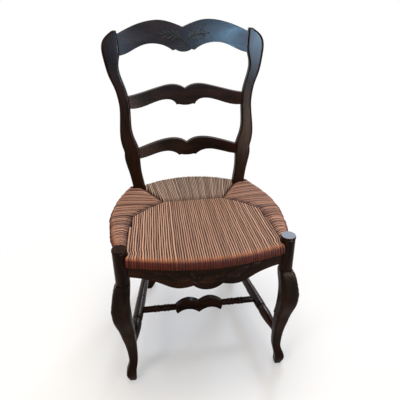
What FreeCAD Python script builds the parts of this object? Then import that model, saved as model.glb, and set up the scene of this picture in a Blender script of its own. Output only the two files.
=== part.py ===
import FreeCAD, Part
import math
import os
from FreeCAD import Vector

# Ladderback chair with a woven rush seat, in millimetres.
# X runs across the chair, the front faces -Y and Z is up. While the pieces are
# drawn, Y = 0 lies on the front leg axes and Z = 0 is the floor. At the end
# the whole chair is moved so that its origin is under the middle of its box.

# Plan and heights
front_leg_spacing = 438.0       # between the two front leg axes
rear_post_gap = 299.0           # between the back posts, just above the seat
post_front_y = 377.5            # front face of the back posts at the seat
seat_height = 445.0             # top of the woven seat at its rolled edge
leg_top = 461.0                 # the turned tops stand a little proud of it
recline = 6.9                   # lean of the back in degrees
post_sag = 4.1                  # how far the upper post curves off that line
post_curve_length = 480.0       # length over which it does
rear_foot_kick = 24.0           # how far the rear feet stand behind the seat

# Front legs
leg_radius = 19.0               # turned part at the top
leg_lip = 1.0                   # rolled lip at the very top
leg_lip_height = 7.0
leg_groove = 1.2
knee_top = 354.0                # shoulder where the turning meets the knee
knee_break = 192.0              # carved lower edge of the knee
knee_overhang = 2.4
# Share of the way down the knee, side of the rounded square and its shift out
# along the diagonal; then the same for the shank, as a share of its height
knee_stations = [(0, 36.0, 1.0), (0.07, 41.6, 4.2), (0.22, 45.4, 10.6), (0.48, 49.2, 17.2),
                 (0.655, 48.2, 16.0), (0.83, 43.2, 10.6), (1, 38.2 + knee_overhang, 4.2)]
shank_stations = [(1, 38.2, 4.2), (0.86, 35.2, 1.2), (0.70, 30.6, -2.8), (0.545, 27.0, -4.6),
                  (0.395, 25.2, -5.0), (0.26, 26.0, 1.6), (0.18, 28.4, 7.6), (0.09, 27.0, 7.8),
                  (0, 19.5, 5.2)]
section_rounding = 0.20         # corner radius of a leg section over its side

# Back posts
post_depth_seat = 28.0
post_depth_top = 24.0
post_outer_rounding = 9.0
post_inner_rounding = 5.0
post_back_rounding = 4.0
# Inner and outer face, from the inner face at the seat. Below the seat the height is
# a share of the seat's, above it is counted from the ends of each back rail
post_foot_outline = [(0, 6.0, 30.0), (0.05, -7.5, 32.0), (0.325, -7.0, 32.5), (0.66, -4.0, 35.0),
                     (1, 0.0, 40.0)]
lower_rail_outline = [(-62, 8.5, 49.0), (-30, 9.5, 56.5), (3, 11.0, 58.0)]
lower_swell_outline = [(3, 11.0, 58.0), (24, 14.0, 63.0), (40, 20.0, 66.0), (60, 26.0, 67.0)]
middle_rail_outline = [(-40, 28.0, 62.0), (-14, 28.0, 61.0), (22, 32.5, 65.5), (42, 37.5, 70.5),
                       (72, 47.0, 82.5)]
top_rail_outline = [(-60, 52.5, 92.0), (-46, 50.5, 94.5), (-28, 46.5, 97.5), (-8, 46.5, 98.5),
                    (14, 48.0, 91.5), (27, 49.5, 79.0), (34, 50.5, 69.0), (38, 52.5, 62.0)]

# Back rails: heights of their ends above the seat, and the board they are cut from
lower_rail_rise = 118.5
middle_rail_rise = 280.5
top_rail_rise = 448.0
rail_thickness = 18.0
rail_setback = 5.0              # behind the front face of the post
rail_bow = 28.0                 # hollow of the rails in plan
blank_overrun = 8.0             # how far a blank runs on past its shoulder before it is coped
blank_margin = 5.0              # how far it stands over the outline, above and below
# Outlines: distance from the middle over the half length, height above the ends
lower_rail_upper = [(0, 18.5), (0.13, 30.0), (0.30, 34.5), (0.53, 31.5), (0.79, 22.5), (1, 14.5)]
lower_rail_lobe = [(0, -22.5), (0.07, -21.8), (0.13, -20.0)]
lower_rail_arch = [(0.175, -22.0), (0.29, -9.5), (0.42, -4.5), (0.58, -6.0), (0.79, -13.0),
                   (1, -17.0)]
middle_rail_upper = [(0, 30.0), (0.11, 40.0), (0.24, 43.5), (0.44, 38.5), (0.70, 27.5), (1, 17.5)]
middle_rail_lobe = [(0, -20.5), (0.07, -19.6), (0.125, -17.0)]
middle_rail_arch = [(0.165, -18.5), (0.26, -2.5), (0.36, 0.0), (0.52, -4.5), (0.72, -15.0),
                    (1, -18.5)]
top_rail_upper = [(0, 42.0), (0.18, 55.5), (0.34, 62.5), (0.52, 61.5), (0.72, 52.5), (1, 29.5)]
top_rail_lobe = [(0, -28.0), (0.065, -26.5), (0.125, -21.0)]
top_rail_arch = [(0.175, -23.5), (0.30, -9.0), (0.45, -2.0), (0.58, -2.5), (0.74, -12.5),
                 (0.89, -26.0), (1, -31.0)]

# Seat: edge of the woven outline and the hidden frame that the rush is wound on
seat_thickness = 34.0
seat_edge_rounding = 16.6
front_bow = 60.0                # front edge of the seat ahead of the leg axes
front_corner_y = -18.0
side_start = (232.0, 20.0)
side_widest = (259.0, 190.0)
side_end = (206.0, 404.0)
rear_corner = (149.5, 420.0)
rear_bow = 467.0
seat_rail_radius = 10.0
rush_margin = 17.0              # from the edge of the seat to the rail's centre
side_rail_inset = 4.0           # its front end, from the leg's axis towards the middle
rear_rail_end_y = 396.0         # where the rear rail meets the posts
# Seams between the panels, each from the edge of the seat inwards
front_seam = [(204.0, 20.0), (200.0, 101.0), (187.0, 193.0), (140.0, 240.0), (91.0, 274.0)]
rear_seam = [(149.5, 377.5), (128.0, 338.0), (108.0, 299.0), (91.0, 274.0)]

# Aprons
apron_top = 410.0
apron_thickness = 20.0
apron_bow = 46.0                # front face ahead of the leg axes at the middle
apron_end_y = 5.0               # front face ahead of the leg axes at the legs
# Distance from the middle over the half length, height above the floor
apron_centre_lobe = [(0, 345.0), (0.055, 346.1), (0.11, 350.2), (0.175, 360.0)]
apron_side_lobe = [(0.175, 360.0), (0.26, 354.8), (0.36, 353.0), (0.47, 359.6), (0.58, 370.4),
                   (0.73, 378.5), (1, 377.0)]
side_apron_thickness = 18.0
side_apron_depth = 36.0
side_apron_arch = 12.0
side_apron_shoulder = 7.0       # between the ends of its arch and its tenons

# Side stretchers, turned: distance from the front leg axis and radius
stretcher_front_z = 108.0
stretcher_rear_z = 100.0
stretcher_splay = 4.0           # rear end outside the middle of the post
stretcher_neck = 9.6
stretcher_radius = 16.0
stretcher_groove_radius = 13.2
stretcher_tail_radius = 14.4
stretcher_bulb = [(13.0, stretcher_neck), (31.0, stretcher_neck + 0.6),
                  (62.0, stretcher_radius - 2.2), (92.0, stretcher_radius),
                  (122.0, stretcher_radius - 1.2)]
stretcher_barrel = [(124.5, stretcher_groove_radius), (127.0, stretcher_radius - 0.6),
                    (140.0, stretcher_radius), (226.0, stretcher_radius - 0.6)]
stretcher_tail = [(229.0, stretcher_tail_radius), (276.0, stretcher_tail_radius)]
# The same, with the distance taken from the rear end
stretcher_tail_end = [(70.0, stretcher_tail_radius - 1.6), (12.0, stretcher_neck)]

# Cross stretcher: turned ends with pairs of beads, and a scalloped plate between
cross_stretcher_at = 168.0      # behind the front leg axes
cross_radius = 10.4
cross_bead_radius = 12.4
cross_bead_length = 8.0
cross_beads = [102.0, 112.0, 134.0, 144.0]      # from the middle of the chair
cross_plate_half = 77.0
cross_plate_thickness = 18.0
cross_rod_overlap = 12.0        # of the turned ends with the plate
# Distance from the middle over the half length, height above the axis
cross_plate_upper = [(0, 15.0), (0.19, 24.5), (0.45, 29.5), (0.72, 24.0), (1, 7.5)]
cross_plate_arch = [(0, -24.8), (0.22, -13.0), (0.49, -8.0), (0.74, -12.5), (0.93, -23.5)]
cross_plate_corner = (1.0, -13.0)

# Joints
fit = 0.15                      # glue gap round every tenon
socket_end_gap = 0.5            # behind the end of every tenon
soft_gap = 0.3                  # between the rush and the wood
tenon_root = 6.0                # how far a tenon reaches back into its own member
seat_tenon_radius = 5.5
seat_tenon_length = 11.0
rail_tenon_thickness = 8.0
rail_tenon_shoulder = 5.0
rail_tenon_length = 22.0
apron_tenon_thickness = 8.0
apron_tenon_shoulder = 5.0
apron_tenon_setback = 4.0       # in front of the middle of the apron's thickness
leg_tenon_stop = 6.6            # tenons end this far from the leg's axis
post_tenon_length = 14.0
stretcher_tenon_radius = 7.5
stretcher_tenon_length = 15.0
stretcher_tenon_stop = 1.0      # in the leg, from the leg's axis
cross_tenon_radius = 6.0
cross_tenon_length = 10.0

up = Vector(0, 0, 1)
leg_x = front_leg_spacing / 2
post_inner_x = rear_post_gap / 2
post_width = post_foot_outline[-1][2] - post_foot_outline[-1][1]
post_centre_x = post_inner_x + post_width / 2
post_centre_y = post_front_y + post_depth_seat / 2
seat_rail_z = seat_height - seat_thickness / 2
lower_rail_z = seat_height + lower_rail_rise
middle_rail_z = seat_height + middle_rail_rise
top_rail_z = seat_height + top_rail_rise
post_top = top_rail_z + top_rail_outline[-1][0]
side_rail_widest = (side_widest[0] - rush_margin, side_widest[1])
side_rail_front = (leg_x - side_rail_inset, 0.0)
side_rail_rear = (post_centre_x, post_centre_y)
front_rail_middle = (0.0, rush_margin - front_bow)
rear_rail_middle = (0.0, rear_bow - rush_margin)
# Height range of the tools that cut the woven seat into its panels
seat_tool_base = seat_height - 2 * seat_thickness
seat_tool_height = 3 * seat_thickness


def mirrored(shape):
    return shape.mirror(Vector(0, 0, 0), Vector(1, 0, 0))


def both_sides(shape):
    return [shape, mirrored(shape)]


def largest(shape):
    return max(shape.Solids, key=lambda solid: solid.Volume)


def line(a, b):
    return Part.LineSegment(a, b).toShape()


def arc(a, b, c):
    return Part.Arc(a, b, c).toShape()


def spline(points):
    curve = Part.BSplineCurve()
    curve.interpolate(points)
    return curve.toShape()


def face(edges):
    return Part.Face(Part.Wire(Part.__sortEdges__(edges)))


def turned(outline, axis):
    # Solid of revolution of a closed outline about an axis through the origin
    return Part.Face(Part.makePolygon(outline + outline[:1])).revolve(Vector(), axis, 360)


def rounded_section(z, corners):
    # Level wire through four rounded corners, each with its signs towards the inside
    arcs = []
    ends = []
    for index, (x, y, sx, sy, rounding) in enumerate(corners):
        centre = Vector(x + sx * rounding, y + sy * rounding, z)
        middle = centre - Vector(sx, sy, 0) * (rounding / math.sqrt(2))
        on_side = Vector(x, centre.y, z)
        on_end = Vector(centre.x, y, z)
        first, last = (on_side, on_end) if index % 2 == 0 else (on_end, on_side)
        arcs.append(arc(first, middle, last))
        ends.append((first, last))
    edges = []
    for index in range(4):
        edges += [arcs[index], line(ends[index][1], ends[(index + 1) % 4][0])]
    return Part.Wire(edges)


def interpolated(stations, z):
    # Value pair of a station list at a height, straight between its stations
    for (z0, a0, b0), (z1, a1, b1) in zip(stations, stations[1:]):
        if z0 <= z <= z1:
            t = (z - z0) / (z1 - z0)
            return a0 + t * (a1 - a0), b0 + t * (b1 - b0)
    return stations[-1][1:]


# Back posts


def post_front(z):
    # Front face of a back post: it kicks back to the foot and reclines upwards
    if z < seat_height:
        drop = (seat_height - z) / seat_height
        return post_front_y + rear_foot_kick * drop ** 1.6
    rise = z - seat_height
    along = rise / post_curve_length
    sag = 4 * post_sag * along * (1 - along)
    return post_front_y + rise * math.tan(math.radians(recline)) - sag


def post_slope(z):
    return (post_front(z + 20) - post_front(z - 20)) / 40


def post_depth(z):
    if z < seat_height:
        return post_depth_seat
    along = (z - seat_height) / (post_top - seat_height)
    return post_depth_seat + (post_depth_top - post_depth_seat) * along


def placed_stations(outline, base, scale=1.0):
    return [(base + scale * z, post_inner_x + inner, post_inner_x + outer)
            for z, inner, outer in outline]


lower_stations = (placed_stations(post_foot_outline, 0.0, seat_height)
                  + placed_stations(lower_rail_outline, lower_rail_z))
upper_stations = (placed_stations(lower_swell_outline, lower_rail_z)
                  + placed_stations(middle_rail_outline, middle_rail_z)
                  + placed_stations(top_rail_outline, top_rail_z))


def post_inner(z):
    return interpolated(lower_stations + upper_stations[1:], z)[0]


def post_section(z, inner, outer):
    front = post_front(z)
    back = front + post_depth(z)
    limit = 0.46 * min(outer - inner, back - front)
    corners = [(inner, front, 1, 1, min(post_inner_rounding, limit)),
               (outer, front, -1, 1, min(post_outer_rounding, limit)),
               (outer, back, -1, -1, min(post_back_rounding, limit)),
               (inner, back, 1, -1, min(post_back_rounding, limit))]
    return rounded_section(z, corners)


def back_post():
    lower = Part.makeLoft([post_section(*station) for station in lower_stations], True)
    upper = Part.makeLoft([post_section(*station) for station in upper_stations], True)
    return largest(lower.fuse(upper))


# Back rails


def rail_profile(upper, lobe, arch, half, z):
    # Scalloped outline in a plane in front of the chair, closed past both shoulders
    reach = half + blank_overrun

    def place(points, sign):
        return [Vector(sign * fraction * half, 0, z + height) for fraction, height in points]

    edges = []
    for sign in (1, -1):
        top = place(upper, sign)
        low = place(arch, sign)
        centre = place(lobe, sign)
        top_end = Vector(sign * reach, 0, top[-1].z)
        low_end = Vector(sign * reach, 0, low[-1].z)
        edges += [spline(top), line(top[-1], top_end), line(top_end, low_end)]
        edges += [line(low_end, low[-1]), spline(low[::-1]), line(low[0], centre[-1])]
        edges.append(spline(centre[::-1]))
    return face(edges)


def bowed_slab(half, y_end, bow, thickness, z0, z1, slope):
    # Curved board: an arc strip in plan, drawn up along the slope
    def strip_edge(offset):
        return arc(Vector(-half, y_end + offset, z0), Vector(0, y_end + bow + offset, z0),
                   Vector(half, y_end + offset, z0))

    near = strip_edge(0)
    far = strip_edge(thickness)
    sides = [line(near.Vertexes[i].Point, far.Vertexes[i].Point) for i in (0, 1)]
    plan = face([near, far] + sides)
    return plan.extrude(Vector(0, slope * (z1 - z0), z1 - z0))


def back_rail_blank(z, upper, lobe, arch):
    half = post_inner(z)
    heights = [z + height for _, height in upper + lobe + arch]
    low = min(heights) - blank_margin
    high = max(heights) + blank_margin
    slope = post_slope(z)
    reach = half + blank_overrun
    # The bow is given between the shoulders, the slab runs a little past them
    overrun = rail_bow * ((reach / half) ** 2 - 1)
    y_end = post_front(z) + rail_setback - overrun - slope * (z - low)
    slab = bowed_slab(reach, y_end, rail_bow + overrun, rail_thickness, low, high, slope)
    profile = rail_profile(upper, lobe, arch, half, z)
    depth = Vector(0, 2 * post_front(post_top), 0)
    return profile.extrude(depth).common(slab)


def back_rail_tenon(z, upper, arch, grow=0.0, extra=0.0):
    # Flat tenon at the right-hand end, leaning with the post
    half = post_inner(z)
    low = z + arch[-1][1] + rail_tenon_shoulder - grow
    high = z + upper[-1][1] - rail_tenon_shoulder + grow
    slope = post_slope(z)
    middle = post_front(z) + rail_setback + rail_thickness / 2 - slope * (z - low)
    width = rail_tenon_thickness + 2 * grow
    corner = Vector(half - tenon_root, middle - width / 2, low)
    plan = Part.makePlane(tenon_root + rail_tenon_length + extra, width, corner)
    return plan.extrude(Vector(0, slope * (high - low), high - low))


# Front legs


def leg_section(z, side, shift):
    # Rounded square that moves out along the diagonal of the right-hand corner
    half = side / 2
    r = section_rounding * side
    cx = leg_x + shift / math.sqrt(2)
    cy = -shift / math.sqrt(2)
    corners = [(cx - half, cy - half, 1, 1, r), (cx + half, cy - half, -1, 1, r),
               (cx + half, cy + half, -1, -1, r), (cx - half, cy + half, 1, -1, r)]
    return rounded_section(z, corners)


def leg_turning():
    lip = leg_radius + leg_lip
    groove_z = leg_top - leg_lip_height
    outline = [Vector(0, 0, knee_top), Vector(leg_radius, 0, knee_top),
               Vector(leg_radius, 0, groove_z - leg_groove),
               Vector(leg_radius - leg_groove, 0, groove_z),
               Vector(lip, 0, groove_z + 2 * leg_groove),
               Vector(lip - leg_groove, 0, leg_top), Vector(0, 0, leg_top)]
    post = turned(outline, up)
    post.translate(Vector(leg_x, 0, 0))
    return post


def front_leg():
    drop = knee_top - knee_break
    knee = Part.makeLoft([leg_section(knee_top - share * drop, side, shift)
                          for share, side, shift in knee_stations], True)
    shank = Part.makeLoft([leg_section(share * knee_break, side, shift)
                           for share, side, shift in shank_stations], True)
    return largest(leg_turning().fuse([knee, shank]))


# Seat frame


def seat_rail_arc(a, b, c, radius):
    # Eight-sided bar bent to the arc through three plan points at the rail height
    path = arc(*[Vector(x, y, seat_rail_z) for x, y in (a, b, c)])
    centre = path.Curve.Center
    start = Vector(a[0], a[1], seat_rail_z)
    out = (start - centre).normalize()
    flat = radius * math.tan(math.pi / 8)
    corners = [start + out * a + up * b for a, b in
               ((radius, -flat), (radius, flat), (flat, radius), (-flat, radius),
                (-radius, flat), (-radius, -flat), (-flat, -radius), (flat, -radius))]
    section = Part.Face(Part.makePolygon(corners + corners[:1]))
    end = Vector(c[0], c[1], seat_rail_z)
    turn = (start - centre).getAngle(end - centre)
    middle = Vector(b[0], b[1], seat_rail_z)
    sense = (start - centre).cross(middle - centre).z
    return section.revolve(centre, up, math.degrees(turn) * math.copysign(1, sense))


def arc_from_widest(widest, end):
    # Middle point of the arc that leaves the widest point straight back or forward
    dx = widest[0] - end[0]
    dy = end[1] - widest[1]
    radius = (dx * dx + dy * dy) / (2 * dx)
    angle = math.asin(dy / radius) / 2
    return (widest[0] - radius * (1 - math.cos(angle)), widest[1] + radius * math.sin(angle))


def front_seat_rail(radius=seat_rail_radius):
    return seat_rail_arc((-leg_x, 0.0), front_rail_middle, (leg_x, 0.0), radius)


def rear_seat_rail(radius=seat_rail_radius):
    end = (post_inner_x + side_rail_inset, rear_rail_end_y - side_rail_inset)
    return seat_rail_arc((-end[0], end[1]), rear_rail_middle, end, radius)


def side_seat_rail(radius=seat_rail_radius):
    front = seat_rail_arc(side_rail_front, arc_from_widest(side_rail_widest, side_rail_front),
                          side_rail_widest, radius)
    rear = seat_rail_arc(side_rail_widest, arc_from_widest(side_rail_widest, side_rail_rear),
                         side_rail_rear, radius)
    return front.fuse(rear)


def round_tenon(start, end, grow=0.0, extra=0.0, radius=seat_tenon_radius):
    # Peg from inside its member, through the shoulder at start, into the host
    along = (end - start).normalize()
    length = tenon_root + (end - start).Length + extra
    return Part.makeCylinder(radius + grow, length, start - along * tenon_root, along)


def plan_point(x, y):
    return Vector(x, y, seat_rail_z)


def side_rail_point(end, y):
    # Point of a side rail's centre line, on its half that runs to the given end
    dx = side_rail_widest[0] - end[0]
    dy = end[1] - side_rail_widest[1]
    radius = (dx * dx + dy * dy) / (2 * dx)
    rise = y - side_rail_widest[1]
    return plan_point(side_rail_widest[0] - radius + math.sqrt(radius ** 2 - rise ** 2), y)


def front_rail_point(x):
    return plan_point(x, front_rail_middle[1] * (1 - (x / leg_x) ** 2))


def front_rail_tenon(grow=0.0, extra=0.0):
    return round_tenon(front_rail_point(leg_x - leg_radius),
                       front_rail_point(leg_x - leg_tenon_stop), grow, extra)


def side_rail_front_tenon(grow=0.0, extra=0.0):
    return round_tenon(side_rail_point(side_rail_front, leg_radius),
                       side_rail_point(side_rail_front, leg_tenon_stop), grow, extra)


def side_rail_rear_tenon(grow=0.0, extra=0.0):
    start = side_rail_point(side_rail_rear, post_front_y)
    along = (plan_point(*side_rail_rear) - start).normalize()
    return round_tenon(start, start + along * seat_tenon_length, grow, extra)


def rear_rail_tenon(grow=0.0, extra=0.0):
    start = plan_point(post_inner_x, rear_rail_end_y)
    slope = 2 * (rear_rail_middle[1] - rear_rail_end_y) / post_inner_x
    along = Vector(1, -slope, 0).normalize()
    return round_tenon(start, start + along * seat_tenon_length, grow, extra)


# Woven seat


def seat_outline():
    z = seat_height - seat_thickness

    def at(point):
        return Vector(point[0], point[1], z)

    def flipped(point):
        return Vector(-point[0], point[1], z)

    front_corner = (leg_x, front_corner_y)
    front_turn = arc_from_widest(side_widest, side_start)
    rear_turn = arc_from_widest(side_widest, side_end)
    edges = [arc(flipped(front_corner), Vector(0, -front_bow, z), at(front_corner)),
             arc(flipped(rear_corner), Vector(0, rear_bow, z), at(rear_corner))]
    for place in (at, flipped):
        edges.append(line(place(front_corner), place(side_start)))
        edges.append(arc(place(side_start), place(front_turn), place(side_widest)))
        edges.append(arc(place(side_widest), place(rear_turn), place(side_end)))
        edges.append(line(place(side_end), place(rear_corner)))
    return face(edges)


def seat_pillow():
    block = seat_outline().extrude(up * seat_thickness)
    rims = [edge for edge in block.Edges if edge.BoundBox.ZLength < seat_thickness / 2]
    return block.makeFillet(seat_edge_rounding, rims)


def seat_region(seam, far_y, corner_x):
    # Upright block over one panel: its two seams, closed by a far edge beyond the seat
    def corner(x, y):
        return Vector(x, y, seat_tool_base)

    edges = [line(corner(-corner_x, far_y), corner(corner_x, far_y)),
             line(corner(-seam[-1][0], seam[-1][1]), corner(*seam[-1]))]
    for sign in (1, -1):
        points = [corner(sign * x, y) for x, y in seam]
        edges += [line(corner(sign * corner_x, far_y), points[0]), spline(points)]
    return face(edges).extrude(up * seat_tool_height)


def leg_clearance():
    # Room for the leg, and the corner of the outline that lies outside it
    hole = Part.makeCylinder(leg_radius + soft_gap, seat_tool_height,
                             Vector(leg_x, 0, seat_tool_base))
    corner = Part.makeBox(side_widest[0], front_bow + leg_tenon_stop, seat_tool_height,
                          Vector(front_seam[0][0], -front_bow, seat_tool_base))
    return hole.fuse(corner)


def post_clearance():
    return Part.makeBox(post_width + 2 * soft_gap, rear_bow - post_front_y, seat_tool_height,
                        Vector(post_inner_x - soft_gap, post_front_y - soft_gap, seat_tool_base))


def rush_panels():
    pillow = seat_pillow()
    hollow = seat_rail_radius + soft_gap
    tools = both_sides(leg_clearance()) + both_sides(post_clearance())
    tools += both_sides(side_seat_rail(hollow)) + [front_seat_rail(hollow), rear_seat_rail(hollow)]
    seat = pillow.cut(tools)
    front_block = seat_region(front_seam, -2 * front_bow, front_seam[0][0])
    rear_block = seat_region(rear_seam, rear_bow + front_bow, post_inner_x)
    right_half = Part.makeBox(2 * side_widest[0], 2 * rear_bow, seat_tool_height,
                              Vector(0, -front_bow, seat_tool_base))
    front = largest(seat.common(front_block))
    rear = largest(seat.common(rear_block))
    side = largest(seat.common(right_half).cut([front_block, rear_block]))
    return front, side, rear


# Aprons


def front_apron_blank():
    half = leg_x
    low = apron_top - 2 * side_apron_depth
    slab = bowed_slab(half, -apron_end_y, apron_end_y - apron_bow, apron_thickness,
                      low, apron_top, 0.0)
    edges = []
    for sign in (1, -1):
        lobe = [Vector(sign * fraction * half, -2 * front_bow, z) for fraction, z in apron_centre_lobe]
        side = [Vector(sign * fraction * half, -2 * front_bow, z) for fraction, z in apron_side_lobe]
        top = Vector(side[-1].x, side[-1].y, apron_top)
        middle = Vector(0, side[-1].y, apron_top)
        edges += [spline(lobe), spline(side), line(side[-1], top), line(top, middle)]
    profile = face(edges)
    return profile.extrude(Vector(0, 4 * front_bow, 0)).common(slab)


def front_apron_tenon(grow=0.0, extra=0.0):
    low = apron_side_lobe[-1][1] + apron_tenon_shoulder - grow
    high = apron_top - apron_tenon_shoulder + grow
    width = apron_tenon_thickness + 2 * grow
    middle = apron_thickness / 2 - apron_end_y - apron_tenon_setback
    start = leg_x - leg_radius - tenon_root
    return Part.makeBox(leg_x - leg_tenon_stop - start + extra, width, high - low,
                        Vector(start, middle - width / 2, low))


side_apron_from = Vector(leg_x, 0, 0)
side_apron_to = Vector(post_centre_x, post_centre_y, 0)


def along_side(shape):
    # Turns what is drawn along +Y from the leg axis to run from leg to post
    run = side_apron_to - side_apron_from
    shape.rotate(Vector(), up, math.degrees(math.atan2(-run.x, run.y)))
    shape.translate(side_apron_from)
    return shape


def side_apron_blank():
    length = (side_apron_to - side_apron_from).Length
    low = apron_top - side_apron_depth
    x = -side_apron_thickness / 2
    ends = [Vector(x, 0, low), Vector(x, length, low)]
    middle = Vector(x, length / 2, low + side_apron_arch)
    top = [Vector(x, length, apron_top), Vector(x, 0, apron_top)]
    edges = [arc(ends[0], middle, ends[1]), line(ends[1], top[0]), line(top[0], top[1]),
             line(top[1], ends[0])]
    return along_side(face(edges).extrude(Vector(side_apron_thickness, 0, 0)))


def side_apron_tenon(start, end, grow=0.0):
    low = apron_top - side_apron_depth + side_apron_shoulder - grow
    high = apron_top - apron_tenon_shoulder + grow
    width = apron_tenon_thickness + 2 * grow
    return along_side(Part.makeBox(width, end - start, high - low, Vector(-width / 2, start, low)))


def side_apron_front_tenon(grow=0.0, extra=0.0):
    return side_apron_tenon(leg_tenon_stop - extra, leg_radius + tenon_root, grow)


def side_apron_rear_tenon(grow=0.0, extra=0.0):
    shoulder = (side_apron_to - side_apron_from).Length - post_depth_seat / 2
    return side_apron_tenon(shoulder - tenon_root, shoulder + post_tenon_length + extra, grow)


# Stretchers


stretcher_from = Vector(leg_x, 0, stretcher_front_z)
stretcher_to = Vector(sum(interpolated(lower_stations, stretcher_rear_z)) / 2 + stretcher_splay,
                      post_front(stretcher_rear_z) + post_depth_seat / 2, stretcher_rear_z)
stretcher_length = (stretcher_to - stretcher_from).Length


def along_stretcher(shape):
    # Turns what is drawn along +Z from the origin to the side stretcher's axis
    run = stretcher_to - stretcher_from
    shape.Placement = FreeCAD.Placement(stretcher_from, FreeCAD.Rotation(up, run))
    return shape


def side_stretcher_blank():
    # Turned from the front: neck, bulb, groove, barrel, step and tapering tail
    tail = stretcher_tail + [(stretcher_length - back, radius)
                             for back, radius in stretcher_tail_end]

    def at(station):
        return Vector(station[1], 0, station[0])

    corners = [at(station) for station in [stretcher_bulb[-1]] + stretcher_barrel + [tail[0]]]
    edges = [spline([at(station) for station in stretcher_bulb]),
             spline([at(station) for station in tail])]
    edges += [line(a, b) for a, b in zip(corners, corners[1:])]
    start = at(stretcher_bulb[0])
    end = at(tail[-1])
    axis_start = Vector(0, 0, start.z)
    axis_end = Vector(0, 0, end.z)
    edges += [line(axis_start, start), line(end, axis_end), line(axis_end, axis_start)]
    return along_stretcher(face(edges).revolve(Vector(), up, 360))


def stretcher_tenon(start, end, grow):
    return along_stretcher(Part.makeCylinder(stretcher_tenon_radius + grow, end - start,
                                             Vector(0, 0, start)))


def stretcher_front_tenon(grow=0.0, extra=0.0):
    root = stretcher_bulb[0][0] + tenon_root
    return stretcher_tenon(stretcher_tenon_stop - extra, root, grow)


def stretcher_rear_tenon(grow=0.0, extra=0.0):
    shoulder = stretcher_length - post_depth_seat / 2
    return stretcher_tenon(shoulder - 2 * tenon_root, shoulder + stretcher_tenon_length + extra,
                           grow)


cross_share = cross_stretcher_at / stretcher_to.y
cross_centre = stretcher_from + (stretcher_to - stretcher_from) * cross_share
cross_end = cross_centre.x - stretcher_radius


def cross_rod():
    # One turned end, from the plate out to the side stretcher
    along = Vector(1, 0, 0)
    start = cross_plate_half - cross_rod_overlap
    rod = Part.makeCylinder(cross_radius, cross_centre.x - start, Vector(start, 0, 0), along)
    half = cross_bead_length / 2
    beads = []
    for at in cross_beads:
        outline = [Vector(at - half, 0, 0), Vector(at - half, 0, cross_radius),
                   Vector(at, 0, cross_bead_radius), Vector(at + half, 0, cross_radius),
                   Vector(at + half, 0, 0)]
        beads.append(turned(outline, along))
    return rod.fuse(beads)


def cross_plate():
    y = -cross_plate_thickness / 2
    edges = []
    for sign in (1, -1):
        upper = [Vector(sign * f * cross_plate_half, y, z) for f, z in cross_plate_upper]
        arch = [Vector(sign * f * cross_plate_half, y, z) for f, z in cross_plate_arch]
        corner = Vector(sign * cross_plate_corner[0] * cross_plate_half, y, cross_plate_corner[1])
        edges += [spline(upper), line(upper[-1], corner), line(corner, arch[-1]), spline(arch)]
    profile = face(edges)
    return profile.extrude(Vector(0, cross_plate_thickness, 0))


def cross_stretcher_blank():
    rod = cross_rod()
    blank = cross_plate().fuse([rod, mirrored(rod)])
    blank.translate(Vector(0, cross_centre.y, cross_centre.z))
    return blank


def cross_tenon(grow=0.0, extra=0.0):
    start = Vector(cross_end, cross_centre.y, cross_centre.z)
    end = start + Vector(cross_tenon_length, 0, 0)
    return round_tenon(start, end, grow, extra, cross_tenon_radius)


# Assembly: each member is coped to its hosts, each host gets its sockets


def member(blank, hosts, tenons):
    body = largest(blank.cut(hosts))
    return largest(body.fuse(tenons).removeSplitter())


def socketed(host, *tenons):
    return largest(host.cut([tenon(fit, socket_end_gap) for tenon in tenons]))


back_rails = {"lower_rail": (lower_rail_z, lower_rail_upper, lower_rail_lobe, lower_rail_arch),
              "middle_rail": (middle_rail_z, middle_rail_upper, middle_rail_lobe, middle_rail_arch),
              "top_rail": (top_rail_z, top_rail_upper, top_rail_lobe, top_rail_arch)}


def rail_tenon_of(name):
    z, upper, _, arch = back_rails[name]
    return lambda grow=0.0, extra=0.0: back_rail_tenon(z, upper, arch, grow, extra)


def build():
    leg = front_leg()
    post = back_post()
    stretcher = side_stretcher_blank()
    nodes = {}
    for name, outline in back_rails.items():
        nodes[name] = member(back_rail_blank(*outline), both_sides(post),
                             both_sides(rail_tenon_of(name)()))
    nodes["front_seat_rail"] = member(front_seat_rail(), both_sides(leg),
                                      both_sides(front_rail_tenon()))
    nodes["rear_seat_rail"] = member(rear_seat_rail(), both_sides(post),
                                     both_sides(rear_rail_tenon()))
    nodes["front_apron"] = member(front_apron_blank(), both_sides(leg),
                                  both_sides(front_apron_tenon()))
    nodes["cross_stretcher"] = member(cross_stretcher_blank(), both_sides(stretcher),
                                      both_sides(cross_tenon()))
    rush_front, rush_side, rush_rear = rush_panels()
    nodes["rush_front_panel"] = rush_front
    nodes["rush_rear_panel"] = rush_rear
    paired = {
        "front_leg": socketed(leg, front_rail_tenon, side_rail_front_tenon, front_apron_tenon,
                              side_apron_front_tenon, stretcher_front_tenon),
        "back_post": socketed(post, rear_rail_tenon, side_rail_rear_tenon, side_apron_rear_tenon,
                              stretcher_rear_tenon, *[rail_tenon_of(name) for name in back_rails]),
        "side_seat_rail": member(side_seat_rail(), [leg, post],
                                 [side_rail_front_tenon(), side_rail_rear_tenon()]),
        "side_apron": member(side_apron_blank(), [leg, post],
                             [side_apron_front_tenon(), side_apron_rear_tenon()]),
        "side_stretcher": socketed(member(stretcher, [leg, post],
                                          [stretcher_front_tenon(), stretcher_rear_tenon()]),
                                   cross_tenon),
        "rush_side_panel": rush_side,
    }
    for name, shape in paired.items():
        nodes[name + "_right"] = shape
        nodes[name + "_left"] = mirrored(shape)
    return nodes


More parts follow.
